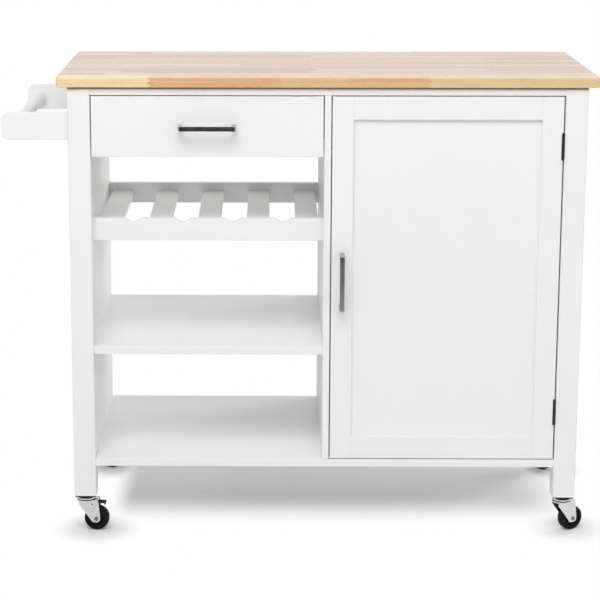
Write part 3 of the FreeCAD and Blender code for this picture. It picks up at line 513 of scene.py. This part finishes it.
def spun(profile, turns):
    # a closed outline of (radius, along the axis) turned once round the axle
    shape = bmesh.new()
    points = [shape.verts.new((radius, along, 0.0)) for radius, along in profile]
    lines = [shape.edges.new(pair) for pair in zip(points, points[1:] + points[:1])]
    bmesh.ops.spin(shape, geom=points + lines, cent=(0, 0, 0), axis=(0, 1, 0), dvec=(0, 0, 0),
                   angle=2 * math.pi, steps=turns, use_merge=True, use_duplicate=False)
    bmesh.ops.remove_doubles(shape, verts=shape.verts, dist=0.000002)
    bmesh.ops.recalc_face_normals(shape, faces=shape.faces)
    return shape


def rounded(shape, edges, width, segments):
    return bmesh.ops.bevel(shape, geom=edges, offset=width, offset_type="OFFSET", segments=segments,
                           profile=0.5, affect="EDGES", material=-1)["faces"]


def addBar(shape, size, width):
    # a block with softened edges at the middle of the shape; hands back its corners
    bar = bmesh.ops.create_cube(shape, size=1.0)["verts"]
    bmesh.ops.scale(shape, vec=size, verts=bar)
    edges = list(dict.fromkeys(edge for vert in bar for edge in vert.link_edges))
    faces = rounded(shape, edges, width, 2)
    return list(dict.fromkeys(vert for face in faces for vert in face.verts))


def arcPoints(center, radius, start, stop, steps):
    # points on an arc in the outline's plane, angles in degrees
    return [(center[0] + radius * math.cos(math.radians(start + (stop - start) * step / steps)),
             center[1] + radius * math.sin(math.radians(start + (stop - start) * step / steps)))
            for step in range(steps + 1)]


def finishPiece(name, shape, material, slot, body, *replaced, place=None):
    if place is not None:
        bmesh.ops.transform(shape, matrix=place, verts=shape.verts)
    mesh = bpy.data.meshes.new(name)
    shape.to_mesh(mesh)
    shape.free()
    mesh.materials.append(material)
    mesh.shade_smooth()
    mesh.set_sharp_from_angle(angle=math.radians(32))
    piece = bpy.data.objects.new(name, mesh)
    bpy.context.scene.collection.objects.link(piece)
    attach(piece, body)
    if replaced:
        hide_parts(*replaced)
    return piece


def makeTyre(corner, place):
    # rounded shoulders, a domed rolling face and the mould's thin parting groove
    values = casterWheel
    outer, half, shoulder = values["outer"], values["halfWidth"], values["shoulder"]
    edge = outer - values["crown"]
    side = arcPoints((edge - shoulder, half - shoulder), shoulder, 90, 8, 7)
    groove = [(outer - 0.0001, values["seamHalf"] * 3), (outer, values["seamHalf"]),
              (outer - values["seamDepth"], 0.0)]
    rim, seat = values["rim"], half - values["seat"]
    step = [(rim, seat), (rim + 0.0012, seat), (rim + 0.0012, half - values["rimStep"]),
            (rim + 0.0022, half)]
    upper = step + side + groove
    outline = upper + [(radius, -along) for radius, along in reversed(upper[:-1])]
    tyre = spun(outline, values["turns"])
    return finishPiece("wheelTyre_" + corner, tyre, materials["black_rubber"], "black_rubber",
                       "wheel_" + corner, "caster_wheel_" + corner, place=place)


def makeWheelCore(corner, place):
    # thin web between hub and rim, stiffened by moulded ribs on both faces
    values = casterWheel
    rim, half = values["rim"], values["halfWidth"]
    bore, hub, web, face = values["bore"], values["hub"], values["web"], values["hubFace"]
    upper = [(bore, face - 0.0003), (bore + 0.0004, face), (hub - 0.0006, face), (hub, face - 0.0006),
             (hub + 0.0004, web), (rim - 0.0022, web), (rim - 0.0018, half - 0.0026),
             (rim - 0.0013, half - 0.0021), (rim + 0.0003, half - 0.0021)]
    outline = upper + [(radius, -along) for radius, along in reversed(upper)]
    core = spun(outline, values["turns"])
    for index in range(values["ribs"]):
        start, stop = values["hub"] - values["ribSunk"], rim - values["ribStop"]
        size = (stop - start, 2 * values["ribFace"], 2 * values["ribHalf"])
        rib = addBar(core, size, values["ribEdge"])
        bmesh.ops.translate(core, vec=((start + stop) / 2, 0, 0), verts=rib)
        bmesh.ops.rotate(core, cent=(0, 0, 0), verts=rib,
                         matrix=Matrix.Rotation(2 * math.pi * index / values["ribs"], 3, "Y"))
    return finishPiece("wheelCore_" + corner, core, materials["black_plastic"], "black_plastic",
                       "wheel_" + corner, place=place)


swivelHead = {
    "plate": 0.042, "plateThick": 0.0025, "plateCorner": 0.004, "rim": 0.0004,
    "cup": 0.0190, "cupNeck": 0.0150, "undercut": 0.0019,
    # the last value on the next line is how far out the black rings that paint shade in the ball groove
    # reach
    "groove": 0.0146, "grooveTop": 0.0029, "grooveLow": 0.0066, "shadeRingOuter": 0.0177,
    "ball": 0.0012, "balls": 34, "ballRing": 0.0172,
    "king": 0.004, "kingHead": 0.0065, "kingCap": 0.0018,
    "forkGap": 0.0003, "forkThick": 0.0025, "turns": 64,
}


def headPlace(corner):
    # the king pin's line, under the middle of its leg, at the height of the leg's end
    place = jointNamed("swivel_" + corner)["pos_m"]
    return Vector((place[0], place[1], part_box("leg_" + corner)[0].z))


def addRing(shape, outline, turns):
    # a closed outline of (radius, height) turned round Z inside an existing shape
    points = [shape.verts.new((radius, 0.0, height)) for radius, height in outline]
    lines = [shape.edges.new(pair) for pair in zip(points, points[1:] + points[:1])]
    bmesh.ops.spin(shape, geom=points + lines, cent=(0, 0, 0), axis=(0, 0, 1), dvec=(0, 0, 0),
                   angle=2 * math.pi, steps=turns, use_merge=True, use_duplicate=False)
    bmesh.ops.remove_doubles(shape, verts=shape.verts, dist=0.000002)


def makePlate(values):
    # square mounting plate with round corners and a softened lower rim
    plate, thick = bmesh.new(), values["plateThick"]
    bmesh.ops.create_cube(plate, size=1.0)
    bmesh.ops.scale(plate, vec=(values["plate"], values["plate"], thick), verts=plate.verts)
    bmesh.ops.translate(plate, vec=(0, 0, -thick / 2), verts=plate.verts)
    upright = [edge for edge in plate.edges
               if abs(edge.verts[0].co.z - edge.verts[1].co.z) > thick / 2]
    rounded(plate, upright, values["plateCorner"], 6)
    lowRim = [edge for edge in plate.edges
              if max(vert.co.z for vert in edge.verts) < -thick + 0.00001]
    rounded(plate, lowRim, values["rim"], 2)
    return plate


def makeCup(values, raceLow):
    # neck, groove for the balls and lower cup in one, and below it the riveted king pin
    top, cup, groove = -values["plateThick"], values["cup"], values["groove"]
    down, under = -values["grooveTop"], -values["grooveLow"]
    cut = raceLow + values["undercut"]
    shape = bmesh.new()
    addRing(shape, [(0.003, top + 0.0004), (values["cupNeck"], top + 0.0004), (values["cupNeck"], down),
                    (groove, down - 0.0002), (groove, under + 0.0003), (cup - 0.0012, under + 0.0002),
                    (cup - 0.0004, under - 0.0001), (cup, under - 0.0006), (cup, cut),
                    (cup - 0.0006, cut - 0.0003), (groove, cut - 0.0003), (groove, raceLow),
                    (0.003, raceLow)], values["turns"])
    pinLow = raceLow - 2 * values["forkGap"] - values["forkThick"]
    king, cap, kingHead = values["king"], values["kingCap"], values["kingHead"]
    addRing(shape, [(0.0001, raceLow + 0.001), (king, raceLow + 0.001), (king, pinLow),
                    (kingHead, pinLow), (kingHead, pinLow - cap * 0.4),
                    (kingHead * 0.82, pinLow - cap * 0.85), (kingHead * 0.45, pinLow - cap),
                    (0.0001, pinLow - cap)], values["turns"] // 2)
    return shape


def makeShadeRings(values, raceLow):
    # black rings behind the balls and under the cup: painted shade in the ball groove and in the gap
    # above the fork
    inner, outer = values["groove"] + 0.0001, values["shadeRingOuter"]
    shape = bmesh.new()
    for top, low in ((-values["grooveTop"] + 0.0002, -values["grooveLow"]),
                     (raceLow + 0.0001, raceLow + values["undercut"] - 0.0004)):
        addRing(shape, [(inner, top), (outer, top), (outer, low), (inner, low)], values["turns"])
    return shape


def makeBalls(values):
    shape = bmesh.new()
    middle = -(values["grooveTop"] + values["grooveLow"]) / 2
    for index in range(values["balls"]):
        ball = bmesh.ops.create_icosphere(shape, subdivisions=2, radius=values["ball"])["verts"]
        bmesh.ops.translate(shape, vec=(values["ballRing"], 0, middle), verts=ball)
        bmesh.ops.rotate(shape, cent=(0, 0, 0), verts=ball,
                         matrix=Matrix.Rotation(2 * math.pi * index / values["balls"], 3, "Z"))
    return shape


def makeSwivelHeads():
    # what turns on each leg: bright cups; plates in near-black steel as painted shade, greased balls in
    # the same dark steel, and black rings as painted shade
    values = swivelHead
    whole, shadedPlatesAndBalls, shadeRings = bmesh.new(), bmesh.new(), bmesh.new()
    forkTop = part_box("caster_fork_front_left")[1].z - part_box("leg_front_left")[0].z
    raceLow = forkTop + values["forkGap"]
    for corner in corners:
        for target, part in ((shadedPlatesAndBalls, makePlate(values)), (whole, makeCup(values, raceLow)),
                             (shadeRings, makeShadeRings(values, raceLow)), (shadedPlatesAndBalls, makeBalls(values))):
            bmesh.ops.recalc_face_normals(part, faces=part.faces)
            bmesh.ops.translate(part, vec=headPlace(corner), verts=part.verts)
            joinShape(target, part)
    finishPiece("swivel_heads", whole, materials["zinc_steel"], "zinc_steel", "cart",
                "caster_plates")
    # the plates' near-black steel and the black rings are painted shade
    finishPiece("swivel_shaded_plates", shadedPlatesAndBalls, materials["hinge_steel"], "hinge_steel", "cart")
    finishPiece("swivel_shade_rings", shadeRings, materials["black_plastic"], "black_plastic", "cart")


def joinShape(whole, part):
    # adds one shape to another and frees it
    mesh = bpy.data.meshes.new("joined")
    part.to_mesh(mesh)
    part.free()
    whole.from_mesh(mesh)
    bpy.data.meshes.remove(mesh)


axleBolt = {"shank": 0.003, "reach": 0.0120, "hex": 0.0046, "hexThick": 0.0014, "chamfer": 0.0004}


def makeAxle(corner, place):
    # through bolt with a chamfered hexagon outside each cheek
    values = axleBolt
    reach, thick = values["reach"], values["hexThick"]
    bolt = spun([(0.0001, -reach - 0.0002), (values["shank"], -reach - 0.0002),
                 (values["shank"], reach + 0.0002), (0.0001, reach + 0.0002)], 32)
    for side in (-1, 1):
        nut = bmesh.ops.create_cone(bolt, cap_ends=True, segments=6, radius1=values["hex"],
                                    radius2=values["hex"], depth=thick)["verts"]
        bmesh.ops.rotate(bolt, cent=(0, 0, 0), matrix=Matrix.Rotation(math.pi / 2, 3, "X"),
                         verts=nut)
        bmesh.ops.translate(bolt, vec=(0, side * (reach + thick / 2), 0), verts=nut)
        outer = reach + thick - 0.00001
        rim = [edge for edge in bolt.edges if all(vert.co.y * side > outer for vert in edge.verts)]
        rounded(bolt, rim, values["chamfer"], 2)
    return finishPiece("axleBolt_" + corner, bolt, boltMetal, "zinc_steel", "fork_" + corner,
                       "caster_axle_" + corner, place=place)


pedalGrip = {"ribs": 5, "pitch": 0.0026, "width": 0.0130, "thick": 0.0011, "high": 0.0007,
             "start": 0.0115, "edge": 0.00035}


def makePedalGrip(corner, place):
    # raised ribs across the end of the brake pedal, where the shoe presses
    values = pedalGrip
    pivot = jointNamed("brake_" + corner)["pos_m"]
    turn = place.to_3x3().to_4x4()
    grip = bmesh.new()
    for index in range(values["ribs"]):
        rib = addBar(grip, (values["thick"], values["width"], values["high"] * 2), values["edge"])
        bmesh.ops.translate(grip, vec=(values["start"] + index * values["pitch"], 0, 0), verts=rib)
    spot = Vector((pivot[0], pivot[1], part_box("brake_pedal_" + corner)[1].z))
    return finishPiece("pedalGrip_" + corner, grip, materials["black_plastic"], "black_plastic",
                       "brake_" + corner, place=Matrix.Translation(spot) @ turn)


corners = ("front_left", "front_right", "rear_left", "rear_right")
for corner in corners:
    makeTyre(corner, wheelPlace(corner))
    makeWheelCore(corner, wheelPlace(corner))
    makeAxle(corner, wheelPlace(corner))
for corner in ("front_left", "rear_left"):
    makePedalGrip(corner, wheelPlace(corner))
makeSwivelHeads()
print("casters ready:", len(corners))


screwHead = {"turns": 28, "slotHalf": 0.17, "slotReach": 0.62, "slotDeep": 0.62, "edge": 0.22,
             "firstTurn": 0.3, "turnStep": 1.1}


def looseParts(nodeName):
    # the separate closed shells of a CAD node, each as a list of corners, in order of place
    shape = bmesh.new()
    shape.from_mesh(cadNodes[nodeName].data)
    bmesh.ops.remove_doubles(shape, verts=shape.verts, dist=0.00001)
    seen, parts = set(), []
    for start in shape.verts:
        if start in seen:
            continue
        seen.add(start)
        found, queue = [], [start]
        while queue:
            vert = queue.pop()
            found.append(vert.co.copy())
            for edge in vert.link_edges:
                other = edge.other_vert(vert)
                if other not in seen:
                    seen.add(other)
                    queue.append(other)
        parts.append(found)
    shape.free()
    return sorted(parts, key=lambda points: [round(value, 4) for value in min(points, key=tuple)])


def measureScrew(points):
    # where the head's face is, the way it looks, the head's and shank's radii, and the lengths
    low = Vector([min(point[axis] for point in points) for axis in range(3)])
    high = Vector([max(point[axis] for point in points) for axis in range(3)])
    size = high - low
    along = max(range(3), key=lambda axis: size[axis])
    middle = (low + high) / 2

    def fromLine(point):
        offset = point - middle
        return math.hypot(*(offset[axis] for axis in range(3) if axis != along))

    def reach(place):
        return max(fromLine(point) for point in points if abs(point[along] - place) < 0.00005)
    atLow, atHigh = reach(low[along]), reach(high[along])
    headLow = atLow > atHigh
    face = low[along] if headLow else high[along]
    shank, head = min(atLow, atHigh), max(atLow, atHigh)
    cap = max(round(abs(point[along] - face), 5) for point in points if fromLine(point) > shank * 1.1)
    facing = Vector((0.0, 0.0, 0.0))
    facing[along] = -1.0 if headLow else 1.0
    place = middle.copy()
    place[along] = face
    return place, facing, head, shank, cap, size[along]


def screwShape(head, shank, cap, length):
    # pan head with a rounded rim and a cross recess; the head faces +Z and its top is at 0
    values = screwHead
    rim = min(cap * 0.6, head * values["edge"] * 2)
    outline = [(0.0, 0.0), (head * 0.45, -cap * 0.03)]
    for angle in map(math.radians, (15, 35, 55, 75, 90)):
        outline.append((head - rim + rim * math.sin(angle), -rim + rim * math.cos(angle) * 0.93))
    outline += [(head, -cap), (shank, -cap), (shank, shank - length), (shank * 0.35, -length),
                (0.0, -length)]
    shape = bmesh.new()
    points = [shape.verts.new((radius, 0.0, height)) for radius, height in outline]
    lines = [shape.edges.new(pair) for pair in zip(points, points[1:])]
    bmesh.ops.spin(shape, geom=points + lines, cent=(0, 0, 0), axis=(0, 0, 1), dvec=(0, 0, 0),
                   angle=2 * math.pi, steps=values["turns"], use_merge=True, use_duplicate=False)
    bmesh.ops.remove_doubles(shape, verts=shape.verts, dist=0.000002)
    bmesh.ops.recalc_face_normals(shape, faces=shape.faces)
    return shape


def crossCutter(head, cap):
    # a plus-shaped punch that narrows downwards
    values = screwHead
    half, reach = head * values["slotHalf"], head * values["slotReach"]
    cutter = bmesh.new()
    bmesh.ops.create_cube(cutter, size=2 * half)
    sides = [face for face in cutter.faces if abs(face.normal.z) < 0.5]
    arms = bmesh.ops.extrude_discrete_faces(cutter, faces=sides)["faces"]
    for face in arms:
        bmesh.ops.translate(cutter, vec=face.normal * (reach - half), verts=face.verts)
    for vert in cutter.verts:
        vert.co.z = cap * 0.3 if vert.co.z > 0 else -cap * values["slotDeep"]
        if vert.co.z < 0:
            vert.co.x *= 0.6
            vert.co.y *= 0.6
    bmesh.ops.recalc_face_normals(cutter, faces=cutter.faces)
    return cutter


def recessedScrew(head, shank, cap, length):
    # cuts the recess once per size of screw and hands back the mesh
    parts = []
    for name, shape in (("screwBlank", screwShape(head, shank, cap, length)),
                        ("screwPunch", crossCutter(head, cap))):
        mesh = bpy.data.meshes.new(name)
        shape.to_mesh(mesh)
        shape.free()
        parts.append(bpy.data.objects.new(name, mesh))
        bpy.context.scene.collection.objects.link(parts[-1])
    blank, punch = parts
    carve = blank.modifiers.new("recess", "BOOLEAN")
    carve.object = punch
    carve.operation = "DIFFERENCE"
    carve.solver = "EXACT"
    evaluated = blank.evaluated_get(bpy.context.evaluated_depsgraph_get())
    carved = bpy.data.meshes.new_from_object(evaluated)
    for part in parts:
        bpy.data.objects.remove(part)
    return carved


def makeScrews(nodeName, body, slot):
    # one piece for all the screws of a node, each head turned a little differently
    whole = bmesh.new()
    mesh = None
    for index, points in enumerate(looseParts(nodeName)):
        place, facing, *sizes = measureScrew(points)
        if mesh is None:
            mesh = recessedScrew(*sizes)
        one = bmesh.new()
        one.from_mesh(mesh)
        stance = facing.to_track_quat("Z", "Y").to_matrix().to_4x4()
        turn = Matrix.Rotation(index * screwHead["turnStep"] + screwHead["firstTurn"], 4, "Z")
        bmesh.ops.transform(one, matrix=Matrix.Translation(place) @ stance @ turn, verts=one.verts)
        joinShape(whole, one)
    bpy.data.meshes.remove(mesh)
    return finishPiece(nodeName.replace("_screws", "_cross_screws"), whole, materials[slot], slot,
                       body, nodeName)


screwSets = (("drawer_pull_screws", "drawer", "zinc_steel"),
             ("door_pull_screws", "door", "zinc_steel"),
             ("frame_hinge_screws", "cart", "hinge_steel"),
             ("door_hinge_screws", "door", "hinge_steel"),
             ("caster_screws", "cart", "zinc_steel"))
for nodeName, body, slot in screwSets:
    makeScrews(nodeName, body, slot)
print("screws ready:", len(screwSets), "sets")


studio = {
    "floorSize": 30.0, "floorColor": 0.75, "floorGlow": 0.06,
    "floorMirrored": 0.45,     # how white the bare floor looks in the metal
    # the floor stays grey between these edges and turns white within the fade beyond each
    "shadeLeft": (-0.335, 0.06), "shadeRight": (0.45, 0.16),
    "shadeFront": (0.03, 0.21), "shadeRear": (0.20, 0.26),
    "wheelShade": (0.02, 0.10),  # and it stays grey this close to a wheel
    "sky": 0.42,
    "lamps": [  # name, place, aims at, size, watts
        ("highSoftbox", (-0.35, -2.4, 3.3), (-0.1, 0.0, 0.4), (2.4, 1.6), 74.0),
        ("frontSoftbox", (-1.6, -4.1, 1.3), (-0.3, 0.0, 0.40), (1.8, 1.8), 8.0),
        ("rightSoftbox", (2.7, -2.9, 1.9), (-0.1, 0.0, 0.45), (2.2, 2.2), 18.0),
        ("rearSoftbox", (0.0, 3.4, 1.6), (0.0, 0.0, 0.4), (3.0, 2.0), 22.0),
        ("rearRightSoftbox", (2.9, 2.0, 1.3), (-0.3, 0.0, 0.45), (1.8, 1.8), 60.0),
        ("leftSoftbox", (-3.4, -0.6, 1.5), (-0.3, 0.0, 0.45), (1.8, 1.8), 16.0),
    ],
    "flag": {"place": (0.0, -2.2, 0.74), "size": (3.6, 1.45), "shade": 0.05},
}


def addCard(name, shape, color):
    # a studio sheet that isn't part of the object
    mesh = bpy.data.meshes.new(name)
    shape.to_mesh(mesh)
    shape.free()
    card = bpy.data.objects.new(name, mesh)
    bpy.context.scene.collection.objects.link(card)
    material, tree, shader = newMaterial(name, Roughness=0.9, Base_Color=(color, color, color, 1))
    mesh.materials.append(material)
    return card, tree, shader


def seenRays(tree, mirrored):
    # 1 for what the camera sees, less in mirrors, 0 for light that falls on things
    path = addNode(tree, "LightPath").outputs
    inMetal = maths(tree, "MULTIPLY", path["Is Glossy Ray"], mirrored)
    return maths(tree, "MAXIMUM", path["Is Camera Ray"],
                 maths(tree, "MAXIMUM", inMetal, path["Is Transmission Ray"]))


def makeFloor():
    values = studio
    sheet = bmesh.new()
    bmesh.ops.create_grid(sheet, x_segments=1, y_segments=1, size=values["floorSize"] / 2)
    floor, tree, shader = addCard("studioFloor", sheet, values["floorColor"])
    shader.inputs["Specular IOR Level"].default_value = 0.0
    # the camera sees white away from the object, and the shadow near it
    place = objectPlace(tree)
    axes = addNode(tree, "SeparateXYZ", None, Vector=place).outputs
    near = 1.0
    for axis, way, key in (("X", -1, "shadeLeft"), ("X", 1, "shadeRight"),
                           ("Y", -1, "shadeFront"), ("Y", 1, "shadeRear")):
        edge, fade = values[key]
        near = maths(tree, "MULTIPLY", near, fading(tree, axes[axis], edge, edge + way * fade))
    flat = stretch(tree, place, (1, 1, 0))
    for corner in corners:
        low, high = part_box("caster_wheel_" + corner)
        spot = ((low.x + high.x) / 2, (low.y + high.y) / 2, 0.0)
        away = addNode(tree, "VectorMath", {"operation": "DISTANCE"}, i0=flat, i1=spot)
        near = maths(tree, "MAXIMUM", near,
                     fading(tree, away.outputs["Value"], *values["wheelShade"]))
    far = maths(tree, "SUBTRACT", 1.0, near)
    seen = seenRays(tree, values["floorMirrored"])
    glow = addNode(tree, "Emission", None, Color=(1, 1, 1, 1),
                   Strength=maths(tree, "MULTIPLY", seen, values["floorGlow"]))
    white = addNode(tree, "Emission", None, Color=(1, 1, 1, 1), Strength=1.0)
    shaded = addNode(tree, "AddShader", None, i0=shader.outputs[0], i1=glow.outputs[0])
    mixed = addNode(tree, "MixShader", None, Fac=maths(tree, "MULTIPLY", far, seen),
                    i1=shaded.outputs[0], i2=white.outputs[0])
    output = next(node for node in tree.nodes if node.type == "OUTPUT_MATERIAL")
    tree.links.new(mixed.outputs[0], output.inputs["Surface"])


def makeSky():
    world = bpy.data.worlds.new("studioSky")
    bpy.context.scene.world = world
    world.use_nodes = True
    tree = world.node_tree
    tree.nodes.clear()
    strength = spread(tree, seenRays(tree, 1.0), 0.0, 1.0, studio["sky"], 1.0)
    back = addNode(tree, "Background", None, Color=(1, 1, 1, 1), Strength=strength)
    output = addNode(tree, "OutputWorld")
    tree.links.new(back.outputs[0], output.inputs["Surface"])


def makeLamps():
    for name, place, target, size, watts in studio["lamps"]:
        lamp = bpy.data.lights.new(name, "AREA")
        lamp.shape = "RECTANGLE"
        lamp.size, lamp.size_y = size
        lamp.energy = watts
        holder = bpy.data.objects.new(name, lamp)
        bpy.context.scene.collection.objects.link(holder)
        holder.location = place
        holder.visible_camera = holder.visible_glossy = False
        aim = Vector(target) - Vector(place)
        holder.rotation_euler = aim.to_track_quat("-Z", "Y").to_euler()


def makeFlag():
    # a dark card that only the metal sees, so satin faces read dark between bright edges
    values = studio["flag"]
    sheet = bmesh.new()
    bmesh.ops.create_grid(sheet, x_segments=1, y_segments=1, size=0.5)
    bmesh.ops.scale(sheet, vec=(*values["size"], 1.0), verts=sheet.verts)
    bmesh.ops.rotate(sheet, cent=(0, 0, 0), matrix=Matrix.Rotation(math.pi / 2, 3, "X"),
                     verts=sheet.verts)
    bmesh.ops.translate(sheet, vec=values["place"], verts=sheet.verts)
    flag = addCard("studioFlag", sheet, values["shade"])[0]
    flag.visible_camera = flag.visible_diffuse = False
    flag.visible_shadow = flag.visible_transmission = False


cameraSettings = {"place": (-0.0620, -3.7500, 1.3633), "pitch": 0.2028, "turn": 0.0099,
                  "lens": 112.50, "shift": (0.0857, -0.130)}


def makeCamera():
    values = cameraSettings
    data = bpy.data.cameras.new("viewCamera")
    data.lens = values["lens"]
    data.sensor_width = 36.0
    data.shift_x, data.shift_y = values["shift"]
    data.clip_end = 100.0
    camera = bpy.data.objects.new("viewCamera", data)
    bpy.context.scene.collection.objects.link(camera)
    camera.location = values["place"]
    camera.rotation_euler = (math.pi / 2 - values["pitch"], 0.0, values["turn"])
    bpy.context.scene.camera = camera


makeFloor()
makeSky()
makeLamps()
makeFlag()
makeCamera()
bpy.context.scene.view_settings.view_transform = "Standard"
print("studio ready")
